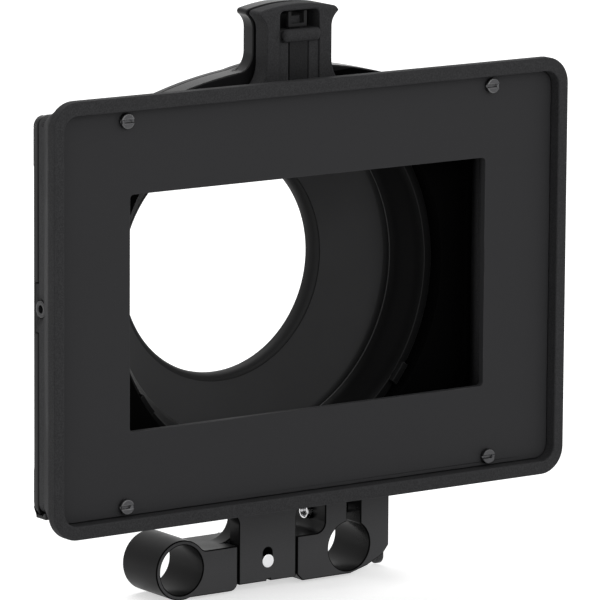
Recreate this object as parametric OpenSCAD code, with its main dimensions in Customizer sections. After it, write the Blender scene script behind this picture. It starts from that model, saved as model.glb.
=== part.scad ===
// Matte box for a film camera on two 15 mm rods, in millimetres.
// X is to the right, Y runs back towards the camera, Z is up.
// The origin is on the optical axis, at the rear edge of the lens port.
// Depths in the modules are counted back from the front face of the mask.

/* [Rim and mask] */
// Width of the rim
rim_w = 181; // [175:0.5:190]
// Height of the rim
rim_h = 125.8; // [120:0.2:134]
// Radius of the rim's outer corners
rim_corner = 8; // [3:0.5:12]
// How far the rim stands ahead of the mask
rim_front = 3.5; // [1.5:0.1:6]
// Width of the rim's front face at the sides
rim_edge_side = 3.5; // [2.4:0.1:5]
// Width of the rim's front face at the top and bottom
rim_edge_top = 4.1; // [2.4:0.1:6]
// How far the rim's centre lies below the optical axis
mask_drop = 2; // [0:0.5:4]
// Thickness of the mask plate
mask_t = 2; // [1:0.1:2.4]
// Width of the mask's opening
mask_open_w = 125.4; // [90:0.2:128]
// Height of the mask's opening
mask_open_h = 68.6; // [50:0.2:70]
// Distance between the mask screws across
screw_span_x = 128.7; // [110:0.1:140]
// Distance between the mask screws up
screw_span_z = 111.4; // [100:0.1:112]
// Diameter of a mask screw's head
screw_head_d = 4.5; // [3:0.1:5]
// Height of a mask screw's head
screw_head_h = 1.6; // [0.8:0.1:2.4]
// Diameter of a mask screw's shank
screw_shank_d = 2.5; // [1.6:0.1:2.8]

/* [Front frame] */
// Width of the box behind the rim
box_w = 171; // [168:0.5:174]
// Height of the box's top above the optical axis
box_top = 55.3; // [54.5:0.1:57]
// Depth of the box's underside below the optical axis
box_bottom = 59.6; // [58.5:0.1:61]
// Corner radius of the box
box_corner = 3.1; // [1:0.1:5]
// Depth at which the flared walls meet the box
flare_end = 9.9; // [6:0.1:11]
// Depth of the box's rear edge
frame_back = 12.4; // [11.6:0.1:13]
// Width of the frame's window
window_w = 130; // [128.5:0.5:138]
// Height of the frame's window
window_h = 74.4; // [70.4:0.2:80]
// Depth at which the filter pocket starts
pocket_front = 10; // [9.5:0.1:11]
// Width of the seam between the front and rear bodies
seam = 0.5; // [0.3:0.1:1]
// Bore of a side bush
bush_bore = 2.4; // [1.6:0.1:3]
// Outside diameter of a side bush
bush_d = 4.9; // [4:0.1:5]
// Thickness of the side tabs that hold the bushes
tab_t = 3.5; // [3:0.1:4]
// How far a bush stands out of its tab
bush_out = 0.4; // [0:0.1:0.6]
// Depth of the side bushes' axis
bush_y = 11; // [10:0.1:11.4]

/* [Latch] */
// Half the width of the anvil's neck
neck_hw = 11.35; // [9.5:0.05:14]
// Height of the anvil's crest above the optical axis
anvil_top = 81.8; // [80.5:0.1:86]
// Radius of the anvil's top
anvil_top_r = 55; // [40:1:90]
// Depth of the anvil's front face
anvil_front = 6.2; // [5.6:0.1:6.8]
// Depth of the rear anvil's front face
rear_anvil_front = 13.8; // [13.6:0.1:15]
// Thickness of the rear anvil
rear_anvil_t = 5; // [3:0.1:6]
// Half the width of the thumb window
thumb_window_hw = 6.9; // [6.6:0.1:7.5]
// Height of the thumb pad
pad_h = 3.9; // [3:0.1:6]
// How far the pad's top lies below the anvil's crest
pad_drop = 7.2; // [6.8:0.1:8.8]
// Half the width of the slider's stem
stem_hw = 3.2; // [2.5:0.1:4.5]
// Travel of the slider
latch_travel = 3.6; // [3.4:0.1:4.5]
// Width of the slider's tongue
tongue_w = 3.8; // [2.4:0.1:3.8]
// Thickness of the tongue
tongue_t = 0.8; // [0.6:0.1:1]
// Wire diameter of the latch spring
spring_wire = 0.5; // [0.4:0.05:0.6]
// Curls of the latch spring
spring_curls = 6; // [4:1:8]

/* [Rear body] */
// Depth of the rear body's plate, front to back
plate_t = 4.7; // [4:0.1:6]
// Depth of the filter frame's seat in the plate
seat_depth = 1.7; // [1.2:0.1:2]
// Width of the box's side walls beside the filter pocket
side_wall = 10; // [9:0.1:12]
// Height of the filter frame
filter_h = 108; // [104:0.5:108]
// Thickness of the filter frame
filter_t = 2; // [1.5:0.1:2.4]
// Width of the filter frame's window
filter_open_w = 131; // [128:0.5:136]
// Height of the filter frame's window
filter_open_h = 77; // [70:0.5:84]
// Bore of the barrel
stage_bore = 110; // [104:0.5:111]
// Radius of the crown over the plate
crown_r = 135; // [120:1:160]
// Height of the crown above the optical axis
crown_top = 62.9; // [61:0.1:66]
// Half the width of the crown
crown_hw = 47; // [42:1:52]
// Thickness of the back plate
back_t = 2.4; // [1.6:0.1:3]
// Thickness of the hook ledge
ledge_t = 1.1; // [0.8:0.1:1.6]
// Radius of the ledge's bead
bead_r = 1; // [0.8:0.05:1.2]
// Depth of the bead's axis
bead_y = 9.5; // [9:0.1:10]

/* [Barrel and reducer] */
// Radius of the bright lip inside the barrel
lip_r = 50; // [46:0.5:52]
// Depth of the lip
lip_y = 30; // [27:0.5:31]
// Wall of the barrel
barrel_wall = 2.5; // [2:0.1:3.5]
// Depth of the barrel's rear end
barrel_back = 34; // [33:0.5:36]
// Depth of the cone's small end
cone_back = 46; // [43:0.5:47]
// Bore of the lens port
port_d = 67; // [58:0.5:70]
// Distance from the mask's front face to the port's rear edge
mask_to_port = 50.65; // [50:0.05:54]

/* [Rod console] */
// Rod diameter
rod_d = 15; // [14.9:0.1:15.1]
// Distance between the rods
rod_span = 60; // [60:1:64]
// Height of the optical axis above the rods
rod_drop = 85; // [85:0.5:88]
// Depth of the console's front face
console_front = 21.8; // [21:0.1:23]
// Length of the console along the rods
console_len = 18; // [15:0.5:24]
// Wall around the left rod
tube_wall = 1.5; // [1.2:0.1:2.2]
// Width of the clamp's split
split_w = 4.95; // [3:0.05:6]
// Width of the right jaw block
jaw_w = 23.3; // [22:0.1:25]
// Height of the jaw block's top above the rod's axis
jaw_rise = 16; // [15:0.1:16]
// Diameter of the clamp screw
clamp_d = 4.6; // [3:0.1:4.8]
// Height of the clamp screw above the rod's axis
clamp_rise = 10.2; // [10.2:0.1:11]
// Length of the clamp lever from its axis to its tip
lever_len = 19.2; // [14:0.2:24]
// Thickness of the clamp lever
lever_t = 2.2; // [2:0.1:3]

/* [Height lock] */
// Width of the height plate
slide_w = 20.35; // [18:0.05:20.4]
// Thickness of the height plate
slide_t = 5.1; // [4:0.1:6]
// Centre of the height plate to the right of the optical axis
slide_x = 0.5; // [0:0.1:1]
// Height travel of the matte box on the console
height_travel = 2.4; // [1:0.1:2.6]
// Diameter of the height stud's shank
stud_d = 3; // [2:0.1:3.4]
// Diameter of the height stud's head
stud_head_d = 4; // [3.6:0.1:6]
// Thickness of the height stud's head
stud_head_t = 0.3; // [0.2:0.1:1]
// Diameter of the height knob
knob_d = 8; // [7:0.5:12]
// Length of the height knob
knob_len = 6.5; // [5:0.5:14]

/* [Fits] */
// Running clearance around a turning or sliding shaft
run_fit = 0.06; // [0.03:0.01:0.09]
// Gap around a part that is laid in a recess
lay_gap = 0.3; // [0.2:0.05:0.4]
// Gap between the height plate and its guides
guide_gap = 0.5; // [0.4:0.05:0.6]

/* [Hidden] */
$fn = 64;

// Places that several pieces share
recess_w = rim_w - 2*rim_edge_side;
recess_h = rim_h - 2*rim_edge_top;
recess_corner = 4.5;
flange_wall = 2;
box_h = box_top + box_bottom;
box_mid = (box_top - box_bottom)/2;
joint_y = frame_back + seam;
seat_floor = joint_y + seat_depth;
plate_back = joint_y + plate_t;
boss_back = plate_back + 2.8;
cover_back = boss_back + back_t;
plate_top = box_top - 0.4;
ledge_gap = 0.3;
ledge_top = -box_bottom - ledge_gap;
ledge_bottom = ledge_top - ledge_t;
bead_z = ledge_bottom + bead_r;
pocket_w = box_w - 2*side_wall;
pocket_h = filter_h + 1;
filter_w = pocket_w - 1;
crown_centre = crown_top - crown_r;
barrel_out = stage_bore/2 + barrel_wall;
boss_r = barrel_out + 6.5;
flange_r = boss_r - 1;
flange_back = cover_back + 2.2;
reducer_back = barrel_back + 2.5;
throat_r = port_d/2 + 2;
tab_hw = 7;
tab_back = bush_y + bush_d/2 + 0.55;
rod_z = -rod_drop;
tube_r = rod_d/2 + tube_wall;
console_back = console_front + console_len;
console_bottom = rod_z - 8.5;
shelf_z = rod_z + 4.9;
low_top = shelf_z + 0.35;
jaw_right = rod_span/2 + 14.6;
jaw_left = jaw_right - jaw_w;
jaw_top = rod_z + jaw_rise;
slide_left = slide_x - slide_w/2;
slide_right = slide_x + slide_w/2;
guide_left = slide_left - guide_gap;
guide_right = slide_right + guide_gap;
slide_back = console_front + slide_t;
tower_front = slide_back + lay_gap;
tower_back = tower_front + 5.8;
tower_in = 3.9;
tower_top = rod_z + 13;
foot_hw = 17.5;
foot_bottom = rod_z + 16;
clamp_y = console_front + console_len/2;
clamp_z = rod_z + clamp_rise;
split_left = rod_span/2 - 0.8;
stud_z = rod_z - 0.85;
lever_x = jaw_right + 0.8;
striker_y = 7.4;
striker_t = 1.2;
bar_hw = 2.75;
bar_w = 1.1;
pad_top = anvil_top - pad_drop;
cross_z = pad_top + 0.3;
window_top = anvil_top - 1.9;
slider_back = 9.1;
recess_floor = anvil_front + 0.6;
channel_floor = slider_back + lay_gap;
stem_bottom = filter_h/2 - mask_drop - 1.4;
spring_seat = stem_bottom - 10;
spring_r = 1.2;
tongue_back = slider_back - 0.1 + tongue_t;
pad_bottom = pad_top - pad_h;
keeper_screw_z = spring_seat + 4;
screw_gap = 0.05;
mask_screw_len = 6.6;
back_screw_len = 6;
back_screw_in = 6;
back_screw_drop = 11.5;
barrel_screw_len = 6.2;
plate_screw_len = 9.6;
plate_screw_in = 4.3;
striker_drop = 7.6;
keeper_hw = 8;

// Extrudes an outline drawn as seen from the front, between two depths
module across(y0, y1) {
    translate([0, y1 - mask_to_port, 0])
        rotate([90, 0, 0])
            linear_extrude(y1 - y0)
                children();
}

// Turns a profile of radius and depth round the optical axis
module round_axis() {
    translate([0, -mask_to_port, 0])
        rotate([-90, 0, 0])
            rotate_extrude($fn = 128)
                children();
}

// A round bar along X from x0 to x1
module bar_x(x0, x1, y, z, r) {
    translate([x0, y - mask_to_port, z])
        rotate([0, 90, 0])
            cylinder(h = x1 - x0, r = r);
}

// A round bar along Y from y0 to y1
module bar_y(y0, y1, x, z, r) {
    translate([x, y0 - mask_to_port, z])
        rotate([-90, 0, 0])
            cylinder(h = y1 - y0, r = r);
}

// A block between two corners
module block(x0, x1, y0, y1, z0, z1) {
    translate([x0, y0 - mask_to_port, z0])
        cube([x1 - x0, y1 - y0, z1 - z0]);
}

// A centred rectangle with round corners
module rounded(w, h, r) {
    square([w - 2*r, h], center = true);
    square([w, h - 2*r], center = true);
    for (sx = [-1, 1], sz = [-1, 1])
        translate([sx*(w/2 - r), sz*(h/2 - r)])
            circle(r);
}

// A rounded rectangle that is centred on the rim
module on_rim(w, h, r) {
    translate([0, -mask_drop])
        rounded(w, h, r);
}

// Points along an arc
function arc(c, r, a0, a1, n = 8) =
    [for (i = [0 : n]) c + r*[cos(a0 + (a1 - a0)*i/n), sin(a0 + (a1 - a0)*i/n)]];

// Repeats a piece at the four mask screws
module at_mask_screws() {
    for (sx = [-1, 1], sz = [-1, 1])
        translate([sx*screw_span_x/2, 0, sz*screw_span_z/2 - mask_drop])
            children();
}

// Outline of the anvil from its foot to its crest: neck, scooped horns and an arched top
module anvil_outline(foot_z, base_z, base_r, sweep) {
    horn_r = 5;
    horn_z = anvil_top - 7.3;
    tip_r = 1;
    tip = horn_tip(horn_r, horn_z, tip_r);
    scoop = [neck_hw + horn_r, horn_z];
    top = [0, anvil_top - anvil_top_r];
    tip_in = atan2(scoop[1] - tip[1], scoop[0] - tip[0]);
    tip_out = atan2(tip[1] - top[1], tip[0] - top[0]);
    base = [neck_hw + base_r, base_z];
    half = concat(
        [[neck_hw + base_r*(1 - cos(sweep)), foot_z]],
        arc(base, base_r, 180 + sweep, 180, 8),
        arc(scoop, horn_r, 180, tip_in + 180, 8),
        arc(tip, tip_r, tip_in, tip_out, 6),
        arc(top, anvil_top_r, tip_out, 90, 6));
    polygon(concat(half, [for (i = [len(half) - 2 : -1 : 0]) [-half[i][0], half[i][1]]]));
}

// Centre of the round tip that touches the scoop's arc and the top's arc
function horn_tip(horn_r, horn_z, tip_r) =
    let (a = [neck_hw + horn_r, horn_z],
         b = [0, anvil_top - anvil_top_r],
         ra = horn_r + tip_r,
         rb = anvil_top_r - tip_r,
         d = norm(b - a),
         u = (b - a)/d,
         s = (ra*ra - rb*rb + d*d)/(2*d),
         h = sqrt(ra*ra - s*s))
    a + s*u + h*[u[1], -u[0]];

// Front frame: rim, flared box, front anvil layer and the window behind the mask
module front_frame() {
    color("#303032")
        difference() {
            union() {
                across(-rim_front, 0)
                    on_rim(rim_w, rim_h, rim_corner);
                frame_flare();
                across(flare_end, frame_back)
                    translate([0, box_mid])
                        rounded(box_w, box_h, box_corner);
                across(frame_back, joint_y)
                    translate([0, box_mid])
                        rounded(box_w - 4, box_h - 4, box_corner);
                difference() {
                    across(anvil_front, frame_back)
                        anvil_outline(box_top - 2, 65, 10, 55);
                    crest_chamfer();
                }
                for (s = [-1, 1])
                    block(min(s*(box_w/2 - tab_t), s*box_w/2), max(s*(box_w/2 - tab_t), s*box_w/2),
                          frame_back - 0.1, tab_back, -tab_hw, tab_hw);
            }
            across(-rim_front - 1, mask_t)
                on_rim(recess_w, recess_h, recess_corner);
            across(mask_t - 1, 6.3)
                on_rim(window_w, window_h, 1.5);
            across(6.2, pocket_front + 1)
                on_rim(window_w + 0.6, window_h + 0.6, 1.8);
            across(pocket_front, joint_y + 1)
                on_rim(pocket_w, pocket_h, 3);
            thumb_window();
            slider_channel();
            bar_x(-box_w/2 - 1, box_w/2 + 1, bead_y, bead_z, bead_r + run_fit);
            at_mask_screws()
                bar_y(mask_t - 1, mask_screw_len + 0.4, 0, 0, screw_shank_d/2 + screw_gap);
            for (s = [-1, 1])
                bar_x(min(s*(box_w/2 - tab_t), s*(box_w/2 + 1)),
                      max(s*(box_w/2 - tab_t), s*(box_w/2 + 1)), bush_y, 0, bush_d/2 + 0.02);
            for (s = [-1, 1])
                bar_y(pocket_front - 3, pocket_front + 1, s*(keeper_hw - 2), keeper_screw_z, 0.8);
        }
}

// Walls that narrow from the rim's seat to the box
module frame_flare() {
    hull() {
        across(0, 2.4)
            translate([0, -mask_drop])
                rounded(recess_w + 2*flange_wall, recess_h + 2*flange_wall, recess_corner + 1, $fn = 32);
        across(flare_end - 0.1, flare_end)
            translate([0, box_mid])
                rounded(box_w, box_h, box_corner, $fn = 32);
    }
}

// Chamfer along the front edge of the anvil's crest
module crest_chamfer() {
    chamfer = 1;
    translate([0, anvil_front - mask_to_port, anvil_top - anvil_top_r])
        rotate([-90, 0, 0])
            rotate_extrude($fn = 256)
                polygon([[anvil_top_r - chamfer, -0.1], [anvil_top_r + 1, -0.1],
                         [anvil_top_r + 1, chamfer + 1], [anvil_top_r, chamfer]]);
}

// Window in the front anvil layer: open above the thumb pad, a shallow recess below it
module thumb_window() {
    corner = 1.5;
    across(anvil_front - 1, frame_back + 1)
        union() {
            translate([-thumb_window_hw, cross_z - 0.7])
                square([2*thumb_window_hw, window_top - corner - cross_z + 0.7]);
            translate([-thumb_window_hw + corner, window_top - corner - 0.5])
                square([2*(thumb_window_hw - corner), corner + 0.5]);
            for (s = [-1, 1])
                translate([s*(thumb_window_hw - corner), window_top - corner])
                    circle(corner);
        }
    block(-thumb_window_hw, thumb_window_hw, anvil_front - 1, recess_floor, box_top + 1, cross_z);
}

// Channel for the stem and its spring, open to the back until the keeper closes it
module slider_channel() {
    block(-stem_hw - lay_gap, stem_hw + lay_gap, anvil_front + 0.2, channel_floor,
          spring_seat, cross_z - 0.2);
    block(-stem_hw - lay_gap, stem_hw + lay_gap, channel_floor - 0.1, pocket_front + 1,
          spring_seat, filter_h/2 - mask_drop - 2);
    block(-tongue_w/2 - lay_gap, tongue_w/2 + lay_gap, channel_floor - 0.1, tongue_back + lay_gap,
          pad_bottom - latch_travel - 0.5, cross_z);
}

// Mask: a plate with a wide opening that sets the shape of the picture's edge
module mask_plate() {
    color("#323234")
        difference() {
            across(0, mask_t)
                on_rim(recess_w - 2*lay_gap, recess_h - 2*lay_gap, recess_corner - lay_gap);
            across(-1, mask_t + 1)
                on_rim(mask_open_w, mask_open_h, 1.2);
            at_mask_screws()
                bar_y(-1, mask_t + 1, 0, 0, screw_shank_d/2 + 0.15);
        }
}

// Four slotted cheese-head screws that hold the mask
module mask_screws() {
    color("#6f6f72")
        at_mask_screws()
            difference() {
                union() {
                    bar_y(-screw_head_h, 0, 0, 0, screw_head_d/2);
                    bar_y(-0.1, mask_screw_len, 0, 0, screw_shank_d/2);
                }
                block(-screw_head_d, screw_head_d, -screw_head_h - 1, -screw_head_h + 0.8, -0.35, 0.35);
            }
}

// Two tapped bushes in the sides, for wings and brackets
module side_bushes() {
    color("#3a3a3c")
        for (s = [-1, 1])
            difference() {
                bar_x(min(s*(box_w/2 - tab_t), s*(box_w/2 + bush_out)),
                      max(s*(box_w/2 - tab_t), s*(box_w/2 + bush_out)), bush_y, 0, bush_d/2);
                bar_x(-box_w/2 - 1, box_w/2 + 1, bush_y, 0, bush_bore/2);
            }
}

// Plate that closes the slider's channel from behind
module slider_keeper() {
    color("#2c2c2e")
        difference() {
            block(-keeper_hw, keeper_hw, pocket_front, pocket_front + 0.8,
                  spring_seat - 1, filter_h/2 - mask_drop - 2.4);
            for (s = [-1, 1])
                bar_y(pocket_front - 1, pocket_front + 2, s*(keeper_hw - 2), keeper_screw_z, 0.9);
        }
}

// Two small screws for the keeper
module keeper_screws() {
    color("#6f6f72")
        for (s = [-1, 1])
            union() {
                bar_y(pocket_front + 0.8, pocket_front + 1.5, s*(keeper_hw - 2), keeper_screw_z, 1.4);
                bar_y(pocket_front - 2.6, pocket_front + 0.9, s*(keeper_hw - 2), keeper_screw_z, 0.75);
            }
}

// Latch spring: one wire in even curls under the slider's stem
module latch_spring() {
    turns = spring_curls;
    top = stem_bottom - spring_wire/2;
    bottom = spring_seat + spring_wire/2;
    pitch = (top - bottom)/turns;
    rings = 8*turns;
    echo(latch_spring_least_gap = pitch - spring_wire);
    color("#9a9a9e")
        translate([0, (anvil_front + channel_floor)/2 + 0.1 - mask_to_port, 0])
            coil(spring_r, spring_wire/2, bottom, pitch, rings);
}

// A coil with eight rings a curl and six sides to the wire
module coil(r, wire_r, bottom, pitch, rings) {
    points = [for (i = [0 : rings], k = [0 : 5])
        let (a = 45*i, b = 60*k, rr = r + wire_r*cos(b))
        [rr*cos(a), rr*sin(a), bottom + pitch*i/8 + wire_r*sin(b)]];
    sides = [for (i = [0 : rings - 1], k = [0 : 5])
        let (p = 6*i + k, q = 6*i + (k + 1)%6)
        each [[p, q, q + 6], [p, q + 6, p + 6]]];
    start = [for (k = [1 : 4]) [0, k + 1, k]];
    end = [for (k = [1 : 4]) [6*rings, 6*rings + k, 6*rings + k + 1]];
    polyhedron(points, concat(start, sides, end));
}

// Latch slider: domed thumb pad, stem and the tongue that holds the striker
module latch_slider() {
    pad_hw = thumb_window_hw - 0.5;
    pad_front = anvil_front - 1.8;
    dome_r = 4;
    stem_front = anvil_front + 0.5;
    color("#343436")
        union() {
            intersection() {
                block(-pad_hw, pad_hw, pad_front, recess_floor - lay_gap, pad_bottom, pad_top);
                bar_x(-pad_hw, pad_hw, pad_front + dome_r, pad_top - 1.3, dome_r);
            }
            block(-stem_hw, stem_hw, stem_front, slider_back, stem_bottom, pad_top - 0.3);
            block(-stem_hw, stem_hw, pad_front + 1.9, stem_front + 0.1, pad_bottom, pad_top - 0.3);
            block(-tongue_w/2, tongue_w/2, slider_back - 0.1, tongue_back, pad_bottom,
                  pad_top + latch_travel - 0.2);
        }
}

// Rear body: plate, crown, rear anvil, hook ledge and the foot for the height plate
module rear_body() {
    color("#262628")
        difference() {
            union() {
                across(joint_y, joint_y + 2.3)
                    plate_outline(0);
                hull() {
                    across(joint_y + 2.2, joint_y + 2.3)
                        plate_outline(0, $fn = 32);
                    across(plate_back - 0.1, plate_back)
                        plate_outline(2.4, $fn = 32);
                }
                across(rear_anvil_front, boss_back)
                    crown_outline();
                across(plate_back - 0.1, boss_back)
                    circle(boss_r);
                across(rear_anvil_front, rear_anvil_front + rear_anvil_t)
                    anvil_outline(crown_top - 6, 67.4, 5.7, 84);
                block(-box_w/2, box_w/2, bead_y, joint_y + 1, ledge_bottom, ledge_top);
                bar_x(-box_w/2, box_w/2, bead_y, bead_z, bead_r);
                block(-foot_hw, foot_hw, joint_y + 2.3, console_front, foot_bottom, ledge_bottom + 2);
            }
            across(joint_y - 1, seat_floor)
                on_rim(pocket_w, pocket_h, 3);
            bar_y(seat_floor, boss_back + 1, 0, 0, barrel_out + 0.3);
            for (s = [-1, 1])
                block(min(s*(box_w/2 - tab_t - lay_gap), s*(box_w/2 + 1)),
                      max(s*(box_w/2 - tab_t - lay_gap), s*(box_w/2 + 1)),
                      joint_y - 1, tab_back + 0.2, -tab_hw - lay_gap, tab_hw + lay_gap);
            at_striker_screws()
                bar_y(rear_anvil_front - 1, rear_anvil_front + 4, 0, 0, 0.85);
            at_back_screws()
                bar_y(cover_back - back_screw_len - 0.4, boss_back + 1, 0, 0, 1.3);
            at_barrel_screws()
                bar_y(flange_back - barrel_screw_len - 0.4, console_front + 1, 0, 0, 1.3);
            at_plate_screws()
                bar_y(slide_back - plate_screw_len - 0.4, console_front + 1, 0, 0, 1.55);
        }
}

// Front view of the plate, drawn in by an inset all round
module plate_outline(inset) {
    h = plate_top - ledge_bottom;
    translate([0, (plate_top + ledge_bottom)/2])
        rounded(box_w - 2*inset, h - 2*inset, box_corner);
}

// Front view of the crown: an arc over the plate
module crown_outline() {
    intersection() {
        translate([0, crown_centre])
            circle(crown_r, $fn = 256);
        translate([-crown_hw, 30])
            square([2*crown_hw, crown_top]);
    }
}

module at_striker_screws() {
    for (s = [-1, 1])
        translate([s*4.2, 0, cross_z - striker_drop + 2])
            children();
}

module at_back_screws() {
    for (s = [-1, 1])
        translate([s*(crown_hw - back_screw_in), 0, crown_top - back_screw_drop])
            children();
}

module at_barrel_screws() {
    for (i = [0 : 5])
        rotate([0, 60*i + 30, 0])
            translate([flange_r - 2.6, 0, 0])
                children();
}

module at_plate_screws() {
    for (s = [-1, 1])
        translate([s*(foot_hw - plate_screw_in), 0, (foot_bottom + ledge_bottom)/2 - 1.5])
            children();
}

// Back plate: a cover behind the rear body with the same crown
module back_plate() {
    color("#232325")
        difference() {
            across(boss_back, cover_back)
                union() {
                    crown_outline();
                    circle(boss_r, $fn = 128);
                }
            bar_y(boss_back - 1, cover_back + 1, 0, 0, barrel_out + 0.1);
            block(-foot_hw - 0.5, foot_hw + 0.5, boss_back - 1, cover_back + 1,
                  -boss_r - 1, ledge_bottom + 2.3);
            at_back_screws()
                bar_y(boss_back - 1, cover_back + 1, 0, 0, 1.4);
            at_barrel_screws()
                bar_y(boss_back - 1, cover_back + 1, 0, 0, 1.4);
        }
}

// A round-headed screw with a hexagon socket, its head against a rear face
module socket_screw(face_y, head_r, head_h, shank_r, shank_len, socket_r) {
    difference() {
        union() {
            bar_y(face_y, face_y + head_h, 0, 0, head_r);
            bar_y(face_y - shank_len, face_y + 0.1, 0, 0, shank_r);
        }
        translate([0, face_y + head_h - 0.9*head_h/2 - mask_to_port, 0])
            rotate([-90, 0, 0])
                cylinder(h = head_h, r = socket_r, $fn = 6);
    }
}

module back_screws() {
    color("#58585b")
        at_back_screws()
            socket_screw(cover_back, 2.3, 1.6, 1.25, back_screw_len, 1.15);
}

module barrel_screws() {
    color("#58585b")
        at_barrel_screws()
            socket_screw(flange_back, 2.1, 1.4, 1.25, barrel_screw_len, 1.1);
}

// Striker: a wire-like loop on the rear anvil that the tongue holds
module striker() {
    top = window_top - 0.35;
    color("#4a4a4d")
        union() {
            for (s = [-1, 1]) {
                block(s*bar_hw - bar_w/2, s*bar_hw + bar_w/2, striker_y, striker_y + striker_t,
                      cross_z, top);
                block(s*bar_hw - bar_w/2, s*bar_hw + bar_w/2, striker_y, rear_anvil_front - 0.4,
                      top - bar_w, top);
            }
            block(-bar_hw - bar_w/2, bar_hw + bar_w/2, striker_y, striker_y + striker_t,
                  cross_z, cross_z + 1);
            difference() {
                block(-6, 6, rear_anvil_front - 0.8, rear_anvil_front, cross_z - striker_drop, top);
                at_striker_screws()
                    bar_y(rear_anvil_front - 2, rear_anvil_front + 1, 0, 0, 0.9);
            }
        }
}

module striker_screws() {
    color("#6f6f72")
        at_striker_screws()
            union() {
                bar_y(rear_anvil_front - 1.3, rear_anvil_front - 0.8, 0, 0, 1.4);
                bar_y(rear_anvil_front - 0.9, rear_anvil_front + 3.6, 0, 0, 0.8);
            }
}

// Filter frame: a thin tray for a 4 x 5.65 inch filter, laid in the rear body
module filter_frame() {
    color("#2a2a2c")
        difference() {
            across(seat_floor - filter_t, seat_floor)
                on_rim(filter_w, filter_h, 2.5);
            across(seat_floor - filter_t - 1, seat_floor + 1)
                on_rim(filter_open_w, filter_open_h, 6);
        }
}

// Two clips that hold the filter frame at its sides
module filter_clips() {
    color("#77777a")
        for (s = [-1, 1])
            block(s*(filter_w/2 - 2.3) - 2.5, s*(filter_w/2 - 2.3) + 2.5, joint_y - 1.1,
                  seat_floor - filter_t, -mask_drop - 6, -mask_drop + 6);
}

// Barrel: bored ring with four lugs, an inner lip and a flange
module barrel() {
    front_y = plate_back + 1.9;
    r0 = stage_bore/2;
    color("#1f1f21")
        difference() {
            union() {
                round_axis()
                    polygon(concat(
                        [[barrel_out, front_y], [r0, front_y]],
                        [for (i = [1 : 8])
                            [r0 - (r0 - lip_r)*pow(sin(90*i/8), 2), front_y + (lip_y - front_y)*i/8]],
                        [[lip_r, lip_y + 0.6], [lip_r + 0.5, lip_y + 1.2], [r0 - 1, lip_y + 1.6],
                         [r0 - 1, barrel_back], [barrel_out, barrel_back],
                         [barrel_out, flange_back], [flange_r, flange_back],
                         [flange_r, cover_back], [barrel_out, cover_back]]));
                for (a = [36.5, 143.5, 216.5, 323.5])
                    rotate([0, -a, 0])
                        lug(r0, front_y);
            }
            at_barrel_screws()
                bar_y(cover_back - 1, flange_back + 1, 0, 0, 1.4);
            at_reducer_screws()
                bar_y(barrel_back - 2.2, barrel_back + 1, 0, 0, 0.95);
        }
}

// One lug on the barrel's front edge
module lug(r0, front_y) {
    intersection() {
        difference() {
            bar_y(plate_back, front_y + 0.4, 0, 0, barrel_out - 0.2);
            bar_y(plate_back - 1, front_y + 1, 0, 0, r0 + 0.2);
        }
        block(0, barrel_out + 1, plate_back - 1, front_y + 2, -3.4, 3.4);
    }
}

module at_reducer_screws() {
    for (i = [0 : 3])
        rotate([0, 90*i + 45, 0])
            translate([barrel_out - 1.75, 0, 0])
                children();
}

// Reducer: a cone that narrows from the barrel to the lens port
module reducer() {
    mouth = lip_r + 0.2;
    color("#2b2b2d")
        difference() {
            round_axis()
                polygon([[mouth, barrel_back], [throat_r, cone_back], [throat_r + 1.2, cone_back],
                         [throat_r + 1.2, mask_to_port], [throat_r + 3.4, mask_to_port],
                         [throat_r + 3.4, cone_back + 1], [mouth + 2.4, reducer_back],
                         [barrel_out, reducer_back], [barrel_out, barrel_back]]);
            at_reducer_screws()
                bar_y(barrel_back - 1, reducer_back + 1, 0, 0, 1.05);
        }
}

module reducer_screws() {
    color("#58585b")
        at_reducer_screws()
            socket_screw(reducer_back, 1.7, 1.2, 0.9, 4.4, 0.9);
}

// Port ring: a rounded lip in the reducer's rear end that meets the lens
module port_ring() {
    lip_start = cone_back + 0.2;
    land = mask_to_port - 1.5;
    color("#39393b")
        round_axis()
            polygon(concat(
                [[throat_r + 1.15, lip_start], [throat_r + 0.1, lip_start]],
                [for (i = [1 : 8])
                    [port_d/2 + (throat_r - port_d/2)*(1 - sin(90*i/8)),
                     land - (land - lip_start)*cos(90*i/8)]],
                [[port_d/2, mask_to_port], [throat_r + 1.15, mask_to_port]]));
}

// Height plate: slides on the console, guided at its sides and held by the stud
module height_plate() {
    top = -boss_r - 0.6;
    flare_r = 3.5;
    flare_z = foot_bottom - 1.5;
    slot_r = stud_d/2 + run_fit;
    plate_bottom = console_bottom + 1.5;
    color("#2b2b2d")
        difference() {
            union() {
                block(slide_left, slide_right, console_front, slide_back, plate_bottom, top);
                block(-foot_hw, foot_hw, console_front, slide_back, flare_z, top);
                difference() {
                    block(slide_left - flare_r, slide_right + flare_r, console_front, slide_back,
                          flare_z - flare_r, flare_z + 0.1);
                    for (x = [slide_left - flare_r, slide_right + flare_r])
                        bar_y(console_front - 1, slide_back + 1, x, flare_z - flare_r, flare_r);
                }
            }
            across(console_front - 1, slide_back + 1)
                translate([slide_x, stud_z])
                    union() {
                        circle(slot_r);
                        translate([0, height_travel])
                            circle(slot_r);
                        translate([-slot_r, 0])
                            square([2*slot_r, height_travel]);
                    }
            at_plate_screws()
                bar_y(console_front - 1, slide_back + 1, 0, 0, 1.7);
            block(slide_x - 0.2, slide_x + 1, console_front - 1, slide_back + 1,
                  plate_bottom - 1, plate_bottom + 0.6);
        }
}

module plate_screws() {
    color("#58585b")
        at_plate_screws()
            socket_screw(slide_back, 2.7, 2, 1.5, plate_screw_len, 1.3);
}

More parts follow.
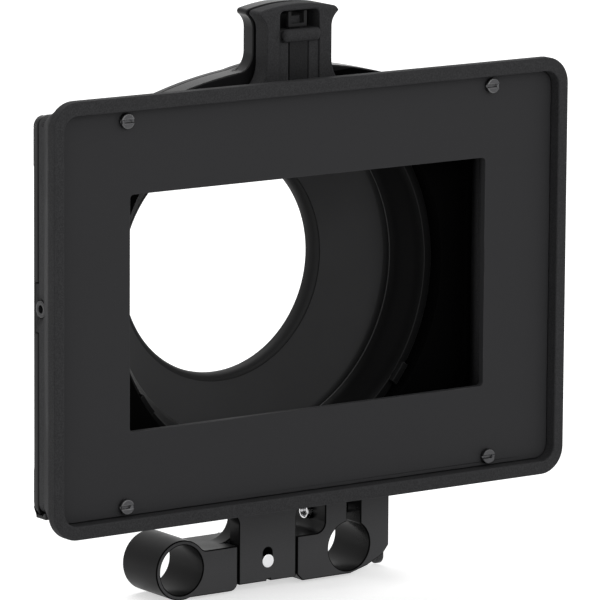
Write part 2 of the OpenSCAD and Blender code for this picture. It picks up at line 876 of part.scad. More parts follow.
// Rod console: a plain tube on the left rod and a split clamp on the right rod
module rod_console() {
    color("#2e2e30")
        difference() {
            union() {
                bar_y(console_front, console_back, -rod_span/2, rod_z, tube_r);
                across(console_front, console_back)
                    web_outline();
                block(guide_left - 1, guide_right + 1, tower_front, console_back,
                      console_bottom + 2.3, shelf_z);
                across(tower_front, tower_back)
                    tower_outline();
                across(console_front, console_back)
                    jaw_outline();
            }
            bar_y(console_front - 1, console_back + 1, -rod_span/2, rod_z, rod_d/2);
            bar_y(console_front - 1, console_back + 1, rod_span/2, rod_z, rod_d/2);
            block(split_left, split_left + split_w, console_front - 1, console_back + 1, rod_z, jaw_top + 1);
            bar_x(jaw_left - 1, jaw_right + 1, clamp_y, clamp_z, clamp_d/2 + run_fit);
            bar_y(tower_front - 1, console_back + 1, slide_x, stud_z, stud_d/2 + run_fit);
        }
}

// Web beside the left tube, with a fillet where its shelf meets the tube
module web_outline() {
    corner = 2.5;
    fillet_r = 3;
    rise = shelf_z + fillet_r - rod_z;
    run = sqrt(pow(tube_r + fillet_r, 2) - rise*rise);
    fillet = [run - rod_span/2, rod_z + rise];
    polygon(concat(
        [[-rod_span/2, console_bottom]],
        arc([guide_left - corner, console_bottom + corner], corner, -90, 0),
        [[guide_left, shelf_z]],
        arc(fillet, fillet_r, -90, atan2(rise, run) - 181),
        [[-rod_span/2, rod_z]]));
}

// Neck behind the height plate, filleted down to the shelves
module tower_outline() {
    fillet_r = 7;
    foot_z = shelf_z - 1;
    left = guide_left + tower_in;
    right = guide_right - tower_in;
    polygon(concat(
        [[left - fillet_r, foot_z], [right + fillet_r, foot_z]],
        arc([right + fillet_r, low_top + fillet_r], fillet_r, 270, 180),
        [[right, tower_top], [left, tower_top]],
        arc([left - fillet_r, shelf_z + fillet_r], fillet_r, 0, -90)));
}

// Block on the right rod: low beside the height plate, tall where the clamp screw runs
module jaw_outline() {
    corner = 3.2;
    polygon(concat(
        [[guide_right + 2, console_bottom], [rod_span/2 + 0.6, console_bottom],
         [rod_span/2 + 6.8, rod_z - 6.8], [rod_span/2 + 12.5, rod_z - 4],
         [jaw_right, rod_z - 1.4], [jaw_right, jaw_top], [jaw_left, jaw_top]],
        arc([jaw_left - corner, low_top + corner], corner, 0, -90),
        [[guide_right, low_top], [guide_right, console_bottom + 2]]));
}

// Clamp screw: draws the split jaws together
module clamp_screw() {
    end = jaw_left - 1.7;
    color("#c9c9cc")
        difference() {
            bar_x(end, lever_x + lever_t, clamp_y, clamp_z, clamp_d/2);
            bar_x(end - 1, end + 1.2, clamp_y, clamp_z, clamp_d/2 - 0.55);
        }
}

module clamp_washer() {
    color("#8d8d90")
        difference() {
            bar_x(jaw_right, lever_x, clamp_y, clamp_z, 3.9);
            bar_x(jaw_right - 1, lever_x + 1, clamp_y, clamp_z, clamp_d/2 + 0.02);
        }
}

// Clamp lever: a round hub and an arm that hangs down beside the jaws
module clamp_lever() {
    hub_r = 4.2;
    tip_r = 2.5;
    arm = lever_len - tip_r;
    color("#242426")
        difference() {
            union() {
                bar_x(lever_x, lever_x + lever_t, clamp_y, clamp_z, hub_r);
                bar_x(lever_x, lever_x + lever_t, clamp_y, clamp_z - arm, tip_r);
                block(lever_x, lever_x + lever_t, clamp_y - tip_r, clamp_y + tip_r, clamp_z - arm, clamp_z);
            }
            bar_x(lever_x - 1, lever_x + lever_t + 1, clamp_y, clamp_z, clamp_d/2 + 0.02);
        }
}

// Cap screw that keeps the lever on the clamp screw
module lever_screw() {
    color("#58585b")
        difference() {
            bar_x(lever_x + lever_t, lever_x + lever_t + 1.2, clamp_y, clamp_z, 2.9);
            translate([lever_x + lever_t + 0.5, clamp_y - mask_to_port, clamp_z])
                rotate([0, 90, 0])
                    cylinder(h = 2, r = 1.3, $fn = 6);
        }
}

// Height stud: its bright head shows in front of the height plate
module height_stud() {
    color("#d8d8da")
        union() {
            bar_y(console_front - stud_head_t, console_front, slide_x, stud_z, stud_head_d/2);
            bar_y(console_front - 0.1, console_back + 0.8 + knob_len - 1, slide_x, stud_z, stud_d/2);
        }
}

module knob_washer() {
    color("#8d8d90")
        difference() {
            bar_y(console_back, console_back + 0.8, slide_x, stud_z, knob_d/2 - 0.2);
            bar_y(console_back - 1, console_back + 2, slide_x, stud_z, stud_d/2 + 0.02);
        }
}

// Height knob: fluted, at the rear end of the stud
module height_knob() {
    flutes = 20;
    flute_r = 0.35;
    front = console_back + 0.8;
    color("#242426")
        difference() {
            bar_y(front, front + knob_len, slide_x, stud_z, knob_d/2);
            for (i = [0 : flutes - 1])
                translate([slide_x, 0, stud_z])
                    rotate([0, 360*i/flutes, 0])
                        bar_y(front + 1.2, front + knob_len + 1, knob_d/2 + 0.12, 0, flute_r);
            bar_y(front - 1, front + knob_len - 0.98, slide_x, stud_z, stud_d/2 + 0.02);
        }
}

front_frame();
mask_plate();
mask_screws();
side_bushes();
slider_keeper();
keeper_screws();
latch_spring();
latch_slider();
rear_body();
back_plate();
back_screws();
striker();
striker_screws();
filter_frame();
filter_clips();
barrel();
barrel_screws();
reducer();
reducer_screws();
port_ring();
height_plate();
plate_screws();
rod_console();
clamp_screw();
clamp_washer();
clamp_lever();
lever_screw();
height_stud();
height_knob();
knob_washer();
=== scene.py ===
import math

import bmesh
import bpy
from mathutils import Matrix, Vector
from mathutils.bvhtree import BVHTree


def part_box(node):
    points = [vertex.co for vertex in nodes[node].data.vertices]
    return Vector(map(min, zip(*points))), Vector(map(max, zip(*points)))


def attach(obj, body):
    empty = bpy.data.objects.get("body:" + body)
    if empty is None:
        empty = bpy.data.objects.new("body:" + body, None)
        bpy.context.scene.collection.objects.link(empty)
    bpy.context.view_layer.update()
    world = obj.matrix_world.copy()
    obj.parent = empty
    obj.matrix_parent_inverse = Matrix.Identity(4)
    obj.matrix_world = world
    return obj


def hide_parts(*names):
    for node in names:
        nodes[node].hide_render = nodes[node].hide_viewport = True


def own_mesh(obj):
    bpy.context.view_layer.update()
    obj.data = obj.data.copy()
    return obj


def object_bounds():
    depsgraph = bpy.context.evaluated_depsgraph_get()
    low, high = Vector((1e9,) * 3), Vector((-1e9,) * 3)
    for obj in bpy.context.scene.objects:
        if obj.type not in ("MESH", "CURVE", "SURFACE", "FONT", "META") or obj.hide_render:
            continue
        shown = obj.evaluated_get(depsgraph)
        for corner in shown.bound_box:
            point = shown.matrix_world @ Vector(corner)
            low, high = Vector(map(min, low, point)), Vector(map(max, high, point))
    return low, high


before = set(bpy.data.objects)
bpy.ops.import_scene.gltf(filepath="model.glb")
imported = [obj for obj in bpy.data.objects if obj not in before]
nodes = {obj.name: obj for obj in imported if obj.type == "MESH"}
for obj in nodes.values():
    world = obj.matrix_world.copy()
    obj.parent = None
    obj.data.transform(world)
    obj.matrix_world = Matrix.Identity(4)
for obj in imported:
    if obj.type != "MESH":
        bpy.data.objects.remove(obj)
cad_low, cad_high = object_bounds()

# ---------------------------------------------------------------- Camera
# The photograph was taken from the left and a little above, far enough away
# that the rim's two sides are nearly parallel. The camera is rolled slightly.
azimuth, elevation, roll = (math.radians(a) for a in (-35.078, 10.377, 0.38))
aim = Vector((-0.003765, -0.05065, -0.003793))
distance = 1.76634
back = Vector((math.sin(azimuth) * math.cos(elevation),
               -math.cos(azimuth) * math.cos(elevation), math.sin(elevation)))
right = Vector((0, 0, 1)).cross(back).normalized()
up = back.cross(right)
right, up = (math.cos(roll) * right + math.sin(roll) * up,
             math.cos(roll) * up - math.sin(roll) * right)
camera_data = bpy.data.cameras.new("camera")
camera_data.sensor_width = 36
camera_data.lens = 365.87
camera = bpy.data.objects.new("camera", camera_data)
camera.matrix_world = (Matrix.Translation(aim + distance * back)
                       @ Matrix((right, up, back)).transposed().to_4x4())
bpy.context.scene.collection.objects.link(camera)
bpy.context.scene.camera = camera
bpy.context.scene.view_settings.view_transform = "Standard"

# ---------------------------------------------------------------- Studio
# A white sweep under and behind the matte box, one broad soft lamp from the
# front, a weaker one from the right and a long one above and behind.
world = bpy.data.worlds.new("studio")
bpy.context.scene.world = world
world.use_nodes = True
air, links = world.node_tree.nodes, world.node_tree.links
air.clear()


def seen_directly(made, join):
    """A mask of the rays that see the background as it is: camera, glossy and transmission."""
    ray = made.new("ShaderNodeLightPath")
    either, any_of = made.new("ShaderNodeMath"), made.new("ShaderNodeMath")
    either.operation = any_of.operation = "MAXIMUM"
    join.new(ray.outputs["Is Camera Ray"], either.inputs[0])
    join.new(ray.outputs["Is Glossy Ray"], either.inputs[1])
    join.new(either.outputs[0], any_of.inputs[0])
    join.new(ray.outputs["Is Transmission Ray"], any_of.inputs[1])
    return any_of.outputs[0]


ambient, white = air.new("ShaderNodeBackground"), air.new("ShaderNodeBackground")
ambient.inputs["Color"].default_value = white.inputs["Color"].default_value = (1, 1, 1, 1)
ambient.inputs["Strength"].default_value = 0.62
white.inputs["Strength"].default_value = 1.0
which = air.new("ShaderNodeMixShader")
links.new(seen_directly(air, links), which.inputs[0])
links.new(ambient.outputs[0], which.inputs[1])
links.new(white.outputs[0], which.inputs[2])
links.new(which.outputs[0], air.new("ShaderNodeOutputWorld").inputs[0])


def lamp(name, place, width, height, watts):
    """A soft rectangular lamp that looks at the middle of the matte box."""
    data = bpy.data.lights.new(name, "AREA")
    data.shape = "RECTANGLE"
    data.size, data.size_y = width, height
    data.energy = watts
    holder = bpy.data.objects.new(name, data)
    holder.location = place
    holder.rotation_euler = (Vector((0, -0.02, 0)) - Vector(place)).to_track_quat("-Z", "Y").to_euler()
    bpy.context.scene.collection.objects.link(holder)


lamp("front lamp", (0.3, -1.9, 0.8), 1.2, 1.0, 8)
lamp("right lamp", (1.5, -0.9, 0.5), 0.9, 1.1, 2)
lamp("top lamp", (0.1, 0.9, 1.3), 1.2, 0.4, 7)

sweep = bmesh.new()
bmesh.ops.create_grid(sweep, x_segments=1, y_segments=1, size=4.0)
bmesh.ops.translate(sweep, verts=sweep.verts, vec=(0, 0, cad_low.z - 0.0005))
floor_mesh = bpy.data.meshes.new("floor")
sweep.to_mesh(floor_mesh)
sweep.free()
floor = bpy.data.objects.new("floor", floor_mesh)
bpy.context.scene.collection.objects.link(floor)
paper = bpy.data.materials.new("white paper")
paper.use_nodes = True
inks, paths = paper.node_tree.nodes, paper.node_tree.links
inks.clear()
lit = inks.new("ShaderNodeBsdfDiffuse")
lit.inputs["Color"].default_value = (0.9, 0.9, 0.9, 1)
shine = inks.new("ShaderNodeEmission")
shine.inputs["Color"].default_value = (1, 1, 1, 1)
boost = inks.new("ShaderNodeMath")
boost.operation = "MULTIPLY"
boost.inputs[1].default_value = 0.55
both = inks.new("ShaderNodeAddShader")
paths.new(seen_directly(inks, paths), boost.inputs[0])
paths.new(boost.outputs[0], shine.inputs["Strength"])
paths.new(lit.outputs[0], both.inputs[0])
paths.new(shine.outputs[0], both.inputs[1])
paths.new(both.outputs[0], inks.new("ShaderNodeOutputMaterial").inputs[0])
floor_mesh.materials.append(paper)

# ---------------------------------------------------------------- Rod console
# The console is milled from aluminium, bead blasted and anodised black. Its
# left side is a plain tube and its right side a split clamp. The faces across
# the rods are lighter than the turned tube and the bores: partly the real
# blasted finish, partly painted light on those faces and painted shade on the
# rest. The narrow rounded edges round those faces are painted near-black, a
# painted shadow line.


def grain_group():
    """Fine moulded or blasted grain, its specks, and slow stains of dust and handling."""
    group = bpy.data.node_groups.new("surface grain", "ShaderNodeTree")
    face = group.interface
    for name, value in (("Cells per metre", 2000.0), ("Coarseness", 0.5)):
        face.new_socket(name, in_out="INPUT", socket_type="NodeSocketFloat").default_value = value
    for name in ("Height", "Specks", "Stain"):
        face.new_socket(name, in_out="OUTPUT", socket_type="NodeSocketFloat")
    made, join = group.nodes, group.links
    given, out = made.new("NodeGroupInput"), made.new("NodeGroupOutput")
    place = made.new("ShaderNodeTexCoord")
    fine = made.new("ShaderNodeTexNoise")
    fine.inputs["Detail"].default_value = 3
    cells = made.new("ShaderNodeTexVoronoi")
    cells.feature = "SMOOTH_F1"
    cells.inputs["Smoothness"].default_value = 0.7
    slow = made.new("ShaderNodeTexNoise")
    slow.inputs["Scale"].default_value = 38
    slow.inputs["Detail"].default_value = 5
    slow.inputs["Roughness"].default_value = 0.62
    blend = made.new("ShaderNodeMix")
    for texture in (fine, cells, slow):
        join.new(place.outputs["Object"], texture.inputs["Vector"])
    join.new(given.outputs["Cells per metre"], fine.inputs["Scale"])
    join.new(given.outputs["Cells per metre"], cells.inputs["Scale"])
    join.new(given.outputs["Coarseness"], blend.inputs["Factor"])
    join.new(fine.outputs["Fac"], blend.inputs["A"])
    join.new(cells.outputs["Distance"], blend.inputs["B"])
    join.new(blend.outputs["Result"], out.inputs["Height"])
    sharpen = made.new("ShaderNodeMapRange")
    sharpen.inputs["From Min"].default_value = 0.3
    sharpen.inputs["From Max"].default_value = 0.62
    join.new(blend.outputs["Result"], sharpen.inputs["Value"])
    join.new(sharpen.outputs["Result"], out.inputs["Specks"])
    spread = made.new("ShaderNodeMapRange")
    spread.inputs["From Min"].default_value = 0.32
    spread.inputs["From Max"].default_value = 0.68
    join.new(slow.outputs["Fac"], spread.inputs["Value"])
    join.new(spread.outputs["Result"], out.inputs["Stain"])
    return group


def edge_wear_and_highlight_group():
    """Rubbed edges, and on the mask a painted highlight: the rounded edges carry the attribute, and a
    noise breaks it up.
    """
    group = bpy.data.node_groups.new("edge wear and highlight", "ShaderNodeTree")
    group.interface.new_socket("Amount", in_out="INPUT", socket_type="NodeSocketFloat").default_value = 0.5
    group.interface.new_socket("Mask", in_out="OUTPUT", socket_type="NodeSocketFloat")
    made, join = group.nodes, group.links
    given, out = made.new("NodeGroupInput"), made.new("NodeGroupOutput")
    edge = made.new("ShaderNodeAttribute")
    edge.attribute_name = "edge"
    place = made.new("ShaderNodeTexCoord")
    patches = made.new("ShaderNodeTexNoise")
    patches.inputs["Scale"].default_value = 120
    patches.inputs["Detail"].default_value = 6
    cut = made.new("ShaderNodeMapRange")
    cut.inputs["From Min"].default_value = 0.38
    cut.inputs["From Max"].default_value = 0.66
    times, share = made.new("ShaderNodeMath"), made.new("ShaderNodeMath")
    times.operation = share.operation = "MULTIPLY"
    join.new(place.outputs["Object"], patches.inputs["Vector"])
    join.new(patches.outputs["Fac"], cut.inputs["Value"])
    join.new(edge.outputs["Fac"], times.inputs[0])
    join.new(cut.outputs["Result"], times.inputs[1])
    join.new(times.outputs[0], share.inputs[0])
    join.new(given.outputs["Amount"], share.inputs[1])
    join.new(share.outputs[0], out.inputs["Mask"])
    return group


grain, edge_wear_and_highlight = grain_group(), edge_wear_and_highlight_group()


def finish(name, shade, edge_wear_and_highlight_shade, roughness, cells, depth, coarse=0.5, metal=0.0, amount=0.5,
           spread=0.08, specular=0.5, vary=0.07, speckled=0.0):
    """One surface finish: its shade, how grain and stains vary it, and how its edges have rubbed; the
    mask's lighter edge shade is a painted highlight.
    """
    material = bpy.data.materials.new(name)
    material.use_nodes = True
    made, join = material.node_tree.nodes, material.node_tree.links
    made.clear()
    shader = made.new("ShaderNodeBsdfPrincipled")
    shader.inputs["Metallic"].default_value = metal
    shader.inputs["Specular IOR Level"].default_value = specular
    texture, worn_and_lit = made.new("ShaderNodeGroup"), made.new("ShaderNodeGroup")
    texture.node_tree, worn_and_lit.node_tree = grain, edge_wear_and_highlight
    texture.inputs["Cells per metre"].default_value = cells
    texture.inputs["Coarseness"].default_value = coarse
    worn_and_lit.inputs["Amount"].default_value = amount
    stained = made.new("ShaderNodeMix")
    stained.data_type = "RGBA"
    stained.inputs["A"].default_value = (*((1 - vary) * c for c in shade), 1)
    stained.inputs["B"].default_value = (*((1 + vary) * c for c in shade), 1)
    mottle = made.new("ShaderNodeMix")
    mottle.inputs["Factor"].default_value = speckled
    edged = made.new("ShaderNodeMix")
    edged.data_type = "RGBA"
    edged.inputs["B"].default_value = (*edge_wear_and_highlight_shade, 1)
    rough = made.new("ShaderNodeMapRange")
    rough.inputs["To Min"].default_value = roughness - spread
    rough.inputs["To Max"].default_value = roughness + spread
    bump = made.new("ShaderNodeBump")
    bump.inputs["Strength"].default_value = 1.0
    bump.inputs["Distance"].default_value = depth
    join.new(texture.outputs["Stain"], mottle.inputs["A"])
    join.new(texture.outputs["Specks"], mottle.inputs["B"])
    join.new(mottle.outputs["Result"], stained.inputs["Factor"])
    join.new(stained.outputs["Result"], edged.inputs["A"])
    join.new(worn_and_lit.outputs["Mask"], edged.inputs["Factor"])
    join.new(edged.outputs["Result"], shader.inputs["Base Color"])
    join.new(texture.outputs["Stain"], rough.inputs["Value"])
    join.new(rough.outputs["Result"], shader.inputs["Roughness"])
    join.new(texture.outputs["Height"], bump.inputs["Height"])
    join.new(bump.outputs["Normal"], shader.inputs["Normal"])
    join.new(shader.outputs[0], made.new("ShaderNodeOutputMaterial").inputs[0])
    return material


def hard_edges(shape, wanted=None, degrees=38):
    """The hard edges of a mesh, or those of them whose middle is wanted."""
    return [e for e in shape.edges if len(e.link_faces) == 2
            and e.calc_face_angle(0) > math.radians(degrees)
            and (wanted is None or wanted((e.verts[0].co + e.verts[1].co) / 2))]


def chains(edges):
    """Splits edges into groups that touch."""
    left, groups = set(edges), []
    while left:
        start = left.pop()
        group, found = [start], [start]
        while found:
            for corner in found.pop().verts:
                for e in corner.link_edges:
                    if e in left:
                        left.remove(e)
                        group.append(e)
                        found.append(e)
        groups.append(group)
    return groups


def round_edges(shape, edges, width, segments=3):
    """Rounds edges, marks the new faces for the rubbed finish, a painted highlight on the mask, and keeps
    them in the solid's skin.
    """
    mark = shape.loops.layers.float.get("edge") or shape.loops.layers.float.new("edge")
    skin = BVHTree.FromBMesh(shape)
    for group in chains(edges):
        made = bmesh.ops.bevel(shape, geom=group, offset=width, offset_type="OFFSET", affect="EDGES",
                               segments=segments, profile=0.5, material=-1, clamp_overlap=False)
        for f in made["faces"]:
            for corner in f.loops:
                corner[mark] = 1.0
        for corner in made["verts"]:
            nearest, outward, _, gap = skin.find_nearest(corner.co)
            if gap > width or (corner.co - nearest).dot(outward) > 0:
                corner.co = nearest


def copy_of(node):
    """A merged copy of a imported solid, its flat faces cut into even triangles."""
    shape = bmesh.new()
    shape.from_mesh(nodes[node].data)
    bmesh.ops.remove_doubles(shape, verts=shape.verts, dist=1e-6)
    bmesh.ops.dissolve_limit(shape, angle_limit=math.radians(0.5), verts=shape.verts, edges=shape.edges)
    bmesh.ops.triangulate(shape, faces=shape.faces, quad_method="BEAUTY", ngon_method="BEAUTY")
    return shape


def place(shape, name, body, slot, material, stands_for=()):
    """Turns a finished mesh into a piece that rides on its body."""
    mesh = bpy.data.meshes.new(name)
    shape.to_mesh(mesh)
    shape.free()
    mesh.shade_smooth()
    mesh.set_sharp_from_angle(angle=math.radians(32))
    mesh.materials.append(material)
    piece = bpy.data.objects.new(name, mesh)
    bpy.context.scene.collection.objects.link(piece)
    even = piece.modifiers.new("even shading", "WEIGHTED_NORMAL")
    even.keep_sharp = True
    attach(piece, body)
    if stands_for:
        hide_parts(*stands_for)
    return piece


def dressed(node, name, body, slot, material, *rounds):
    """A copy of a solid whose edges are rounded, set by set: a width, and which edges."""
    shape = copy_of(node)
    for width, wanted in rounds:
        round_edges(shape, hard_edges(shape, wanted), width)
    return place(shape, name, body, slot, material, (node,))


def paint(piece, material, wanted):
    """Gives a second finish to the faces that are wanted by their middle and direction."""
    piece.data.materials.append(material)
    for face in piece.data.polygons:
        if wanted(face.center, face.normal):
            face.material_index = len(piece.data.materials) - 1


# Lit and shaded copies of the black anodising: painted shade on the turned finish, painted light on the
# blasted one, picked by which way a face points.
turned_and_painted_shade = finish("black anodised, turned, painted shade", (0.0055, 0.0055, 0.0058), (0.006, 0.006, 0.0062), 0.3, 5200,
                0.000006, coarse=0.3, specular=0.08)
blasted_and_painted_light = finish("black anodised, blasted, painted light", (0.066, 0.066, 0.068), (0.066, 0.066, 0.068), 0.62, 4200,
                 0.00002, coarse=0.6, specular=0.08, vary=0.1, speckled=0.5)
# A painted shadow line: near-black on the narrow rounded edges.
painted_edge_shadow = finish("black anodised, painted shadow on broken edge", (0.002, 0.002, 0.0021), (0.004, 0.004, 0.0042), 0.5, 3000,
                0.000004, specular=0.03)
console = dressed("rod_console", "console_block", "console", "anodised", turned_and_painted_shade, (0.00035, None))


def faces_front_or_back(middle, normal):
    """A flat face across the rods."""
    return abs(normal.y) > 0.98


def on_broken_edge(middle, normal):
    """One of the narrow faces round a face across the rods."""
    return 0.2 < abs(normal.y) <= 0.98


paint(console, blasted_and_painted_light, faces_front_or_back)
# The narrow rounded faces get a painted shadow line.
paint(console, painted_edge_shadow, on_broken_edge)

# ---------------------------------------------------------------- Rod clamp
# A polished screw draws the split jaws together. A coated lever sits on its
# right end with a plain washer under it and a black cap screw on top.
polished = finish("polished steel", (0.78, 0.78, 0.79), (0.85, 0.85, 0.85), 0.2, 1500, 0.000003,
                  metal=1.0)
coated = finish("black coated metal", (0.02, 0.02, 0.022), (0.14, 0.14, 0.14), 0.4, 3000, 0.00001,
                metal=0.2, specular=0.3)
oxide = finish("black oxide", (0.05, 0.05, 0.052), (0.2, 0.2, 0.2), 0.34, 3000, 0.00001, metal=0.8)
dressed("clamp_screw", "clamp_screw_bar", "clamp", "bright_steel", polished, (0.0002, None))
dressed("clamp_washer", "clamp_screw_washer", "clamp", "bright_steel", polished, (0.0001, None))
dressed("clamp_lever", "clamp_lever_arm", "clamp", "black_metal", coated, (0.0004, None))
dressed("lever_screw", "clamp_lever_screw", "clamp", "dark_screw", oxide, (0.0002, None))

# ---------------------------------------------------------------- Height lock
# A polished stud goes through the height plate's slot. The slim fluted nut on
# its rear end pulls it tight; only its bright head shows in front.
dressed("height_stud", "height_stud_bar", "height_lock", "bright_steel", polished, (0.0001, None))
dressed("knob_washer", "height_knob_washer", "height_lock", "bright_steel", polished, (0.0001, None))
dressed("height_knob", "height_knob_grip", "height_lock", "black_metal", coated, (0.0003, None))

# ---------------------------------------------------------------- Height plate
# A milled and blasted plate under the rear body, slotted for the stud. Two
# black cap screws hold it to the body's foot.
height_plate = dressed("height_plate", "height_plate_slab", "rear_unit", "anodised", turned_and_painted_shade,
                       (0.0003, None))
# Painted light on the faces across the rods, painted shade on the rest, as on the console.
paint(height_plate, blasted_and_painted_light, faces_front_or_back)
# A painted shadow line on the narrow rounded edges.
paint(height_plate, painted_edge_shadow, on_broken_edge)
dressed("plate_screws", "height_plate_screws", "rear_unit", "dark_screw", oxide, (0.00015, None))

# ---------------------------------------------------------------- Rear body
# Moulded in glossy black plastic: the plate, the crown with the rear half of
# the latch, and the ledge that the front hooks on. The filter's seat and the
# bore are flocked against stray light; their near-black is partly painted
# shade deep in the box.
satin = finish("satin black plastic", (0.011, 0.011, 0.0118), (0.02, 0.02, 0.02), 0.22, 2600, 0.000004,
               specular=0.12, spread=0.04)
# Darker than real flock: partly painted shade deep in the box.
flock_and_painted_shade = finish("anti-glare flock, painted shade", (0.0012, 0.0012, 0.0013), (0.002, 0.002, 0.002), 0.9, 4200, 0.00004,
               specular=0.02, spread=0.05)
seat_y, bore_r = -0.03605, 0.0579
rear_body = dressed("rear_body", "rear_body_shell", "rear_unit", "satin_black", satin, (0.0004, None))


def in_light_path(middle, normal):
    """The filter's seat and the bore behind it."""
    in_seat = abs(middle.x) < 0.0757 and abs(middle.z + 0.002) < 0.0547 and middle.y < seat_y + 0.0001
    in_bore = math.hypot(middle.x, middle.z) < bore_r + 0.0006 and middle.y < -0.03
    return in_seat or in_bore


paint(rear_body, flock_and_painted_shade, in_light_path)

# ---------------------------------------------------------------- Back plate
# A cover of the same plastic behind the crown, held by two cap screws at the
# top and clamped round the bore by the barrel's flange.
dressed("back_plate", "back_cover", "rear_unit", "satin_black", satin, (0.0004, None))
dressed("back_screws", "back_cover_screws", "rear_unit", "dark_screw", oxide, (0.00015, None))

# ---------------------------------------------------------------- Barrel
# A turned ring that narrows to a thin lip inside; the lip's narrow land is
# painted light, a painted highlight. Its front edge shows as two fine lines
# through the bore, a dim painted highlight on its rounded faces; six cap
# screws hold its flange.
inner = finish("matte black inner wall", (0.0055, 0.0055, 0.0057), (0.007, 0.007, 0.007), 0.44, 3000,
               0.000006, specular=0.035)
# A painted highlight along the lip.
painted_lip_highlight = finish("painted highlight on the lip", (0.06, 0.06, 0.061), (0.08, 0.08, 0.08), 0.4, 3000, 0.000004,
                     specular=0.1)
# A dim painted highlight on the barrel's rounded front edges.
painted_front_edge_highlight = finish("dim painted highlight on the front edge", (0.017, 0.017, 0.0175), (0.02, 0.02, 0.02), 0.5, 3000, 0.000004,
                   specular=0.05)
barrel = dressed("barrel", "barrel_ring", "rear_unit", "satin_black", inner, (0.0002, None))
lip_r, lip_y, barrel_front = 0.05, -0.02065, -0.03115


def on_lip(middle, normal):
    """The lip's narrow land."""
    return math.hypot(middle.x, middle.z) < lip_r + 0.0002 and abs(middle.y - lip_y - 0.0003) < 0.0003


def on_front_edge(middle, normal):
    """A broken edge of the barrel's front."""
    return middle.y < barrel_front + 0.0003 and 0.2 < abs(normal.y) < 0.98


paint(barrel, painted_lip_highlight, on_lip)
paint(barrel, painted_front_edge_highlight, on_front_edge)
dressed("barrel_screws", "barrel_flange_screws", "rear_unit", "dark_screw", oxide, (0.00015, None))

# ---------------------------------------------------------------- Reducer
# A moulded cone that narrows from the barrel to the lens port, matte inside.
# Four small cap screws hold it to the barrel's rear end.
conical = finish("matte black cone", (0.046, 0.046, 0.047), (0.05, 0.05, 0.05), 0.7, 3000, 0.000006,
                 specular=0.04)
dressed("reducer", "reducer_cone", "rear_unit", "smooth_plastic", conical, (0.0003, None))
dressed("reducer_screws", "reducer_cone_screws", "rear_unit", "dark_screw", oxide, (0.00015, None))

# ---------------------------------------------------------------- Port ring
# A soft rounded rubber lip pressed into the cone's rear end, where it meets
# the lens barrel.
rubber = finish("smooth black rubber", (0.024, 0.024, 0.0245), (0.03, 0.03, 0.03), 0.5, 1800, 0.000004,
                specular=0.07)
dressed("port_ring", "port_ring_lip", "rear_unit", "soft_lip", rubber, (0.0003, None))

# ---------------------------------------------------------------- Filter frame
# A thin flocked tray that holds the filter in its seat, kept there by a
# spring clip at each side. Its near-black flock is partly painted shade.
spring_strip = finish("drawn spring steel", (0.4, 0.4, 0.42), (0.6, 0.6, 0.6), 0.25, 3000, 0.000006,
                      metal=1.0)
dressed("filter_frame", "filter_tray", "rear_unit", "smooth_plastic", flock_and_painted_shade, (0.0002, None))
dressed("filter_clips", "filter_tray_clips", "rear_unit", "spring_steel", spring_strip, (0.0001, None))

# ---------------------------------------------------------------- Striker
# A bent black loop on the rear anvil that the slider's tongue catches. Two
# small machined screws hold its foot.
machined = finish("grey machined steel", (0.065, 0.065, 0.068), (0.3, 0.3, 0.3), 0.42, 2600, 0.00001,
                  metal=0.9)
painted = finish("matte black paint", (0.016, 0.016, 0.0165), (0.03, 0.03, 0.03), 0.6, 3000, 0.000008,
                 specular=0.1)
dressed("striker", "striker_loop", "rear_unit", "black_metal", painted, (0.0002, None))
dressed("striker_screws", "striker_foot_screws", "rear_unit", "grey_screw", machined, (0.0001, None))

# ---------------------------------------------------------------- Front frame
# One moulding with a fine grain: the rim, the flared box and the front half
# of the latch. The filter pocket behind the window is flocked, its near-black
# partly painted shade.
grained = finish("grained black plastic", (0.03, 0.03, 0.0313), (0.036, 0.036, 0.038), 0.66, 2400,
                 0.00008, specular=0.07, vary=0.3, speckled=0.85)
rim_face, pocket_y = -0.05415, -0.04065
front_frame = dressed("front_frame", "front_frame_shell", "front_unit", "grained_plastic", grained,
                      (0.0005, lambda m: m.y < rim_face + 0.0001),
                      (0.0004, lambda m: m.z > 0.0565),
                      (0.0003, lambda m: m.z <= 0.0565 and m.y < -0.0422))
paint(front_frame, flock_and_painted_shade, lambda middle, normal: middle.y > pocket_y - 0.0003
      and abs(middle.x) < 0.0757 and abs(middle.z + 0.002) < 0.0547)

# ---------------------------------------------------------------- Side bushes
# A black metal bush in a tab on each side, tapped for a wing or a bracket.
# Each is pressed in and stands slightly proud.
dressed("side_bushes", "side_bush_pair", "front_unit", "black_metal", coated, (0.00015, None))

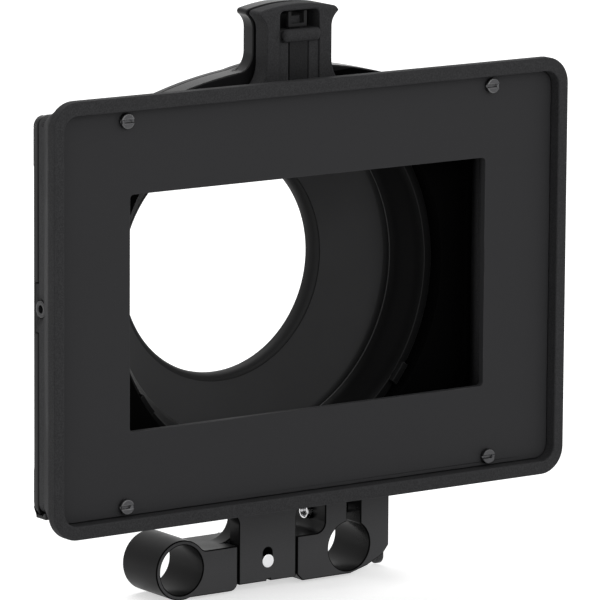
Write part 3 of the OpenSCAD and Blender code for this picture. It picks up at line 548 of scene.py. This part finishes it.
# ---------------------------------------------------------------- Latch slider
# A grained plastic slider with a domed thumb pad. Its tongue holds the
# striker; pushing the pad down against the spring lets the front tip.
pad_foot_z = 0.0698
slider = dressed("latch_slider", "latch_thumb_slider", "latch", "grained_plastic", grained,
                 (0.0011, lambda m: m.y < -0.0447), (0.0003, None))
# The stem's faces down in the channel get the same grain, darker: painted shade.
painted_channel_shade = finish("grained black plastic, painted shade in the channel", (0.017, 0.017, 0.0178), (0.03, 0.03, 0.031), 0.6,
                2400, 0.00006, specular=0.07, vary=0.3, speckled=0.85)
paint(slider, painted_channel_shade, lambda middle, normal: middle.z < pad_foot_z)
dressed("slider_keeper", "latch_keeper", "front_unit", "black_metal", coated, (0.0001, None))
dressed("keeper_screws", "latch_keeper_screws", "front_unit", "grey_screw", machined, (0.0001, None))

# ---------------------------------------------------------------- Latch spring
# Drawn spring wire in six even curls, between the channel's floor and the
# foot of the slider's stem.
wire_r, curls, rings_a_curl, slider_travel = 0.00025, 6, 24, 0.0036
spring_low, spring_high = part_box("latch_spring")
coil_y = (spring_low.y + spring_high.y) / 2
coil_r = (spring_high.x - spring_low.x) / 2 - wire_r
rise = (spring_high.z - spring_low.z - 2 * wire_r) / (curls * rings_a_curl)
coil = bmesh.new()
bmesh.ops.create_circle(coil, segments=10, radius=wire_r)
bmesh.ops.rotate(coil, verts=coil.verts, matrix=Matrix.Rotation(math.radians(90), 3, "X"))
bmesh.ops.translate(coil, verts=coil.verts, vec=(coil_r, coil_y, spring_low.z + wire_r))
bmesh.ops.spin(coil, geom=coil.verts[:] + coil.edges[:], cent=(0, coil_y, 0), axis=(0, 0, 1),
               dvec=(0, 0, rise), angle=math.radians(360 * curls), steps=curls * rings_a_curl)
bmesh.ops.holes_fill(coil, edges=[e for e in coil.edges if e.is_boundary], sides=12)
bmesh.ops.recalc_face_normals(coil, faces=coil.faces)
spring = place(coil, "latch_spring_coil", "front_unit", "spring_steel", spring_strip, ("latch_spring",))
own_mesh(spring)

# ---------------------------------------------------------------- Mask
# A flat plate in smooth matte plastic, cut out for the picture's frame and
# held in the rim by a slotted screw near each corner.
# Its rounded edges take a lighter edge shade, broken up by noise: a painted highlight.
smooth_with_painted_edge_highlight = finish("smooth matte black plastic, painted edge highlight", (0.0308, 0.0308, 0.0323), (0.07, 0.07, 0.073), 0.6, 3600,
                0.00001, specular=0.07, vary=0.08, speckled=0.4)
dressed("mask_plate", "mask_panel", "front_unit", "smooth_plastic", smooth_with_painted_edge_highlight,
        (0.00015, lambda m: abs(m.x) < 0.0632 and abs(m.z + 0.002) < 0.0347), (0.0003, None))
screw_face = -0.05225
dressed("mask_screws", "mask_corner_screws", "front_unit", "grey_screw", machined,
        (0.00035, lambda m: m.y < screw_face + 0.0001), (0.0001, None))
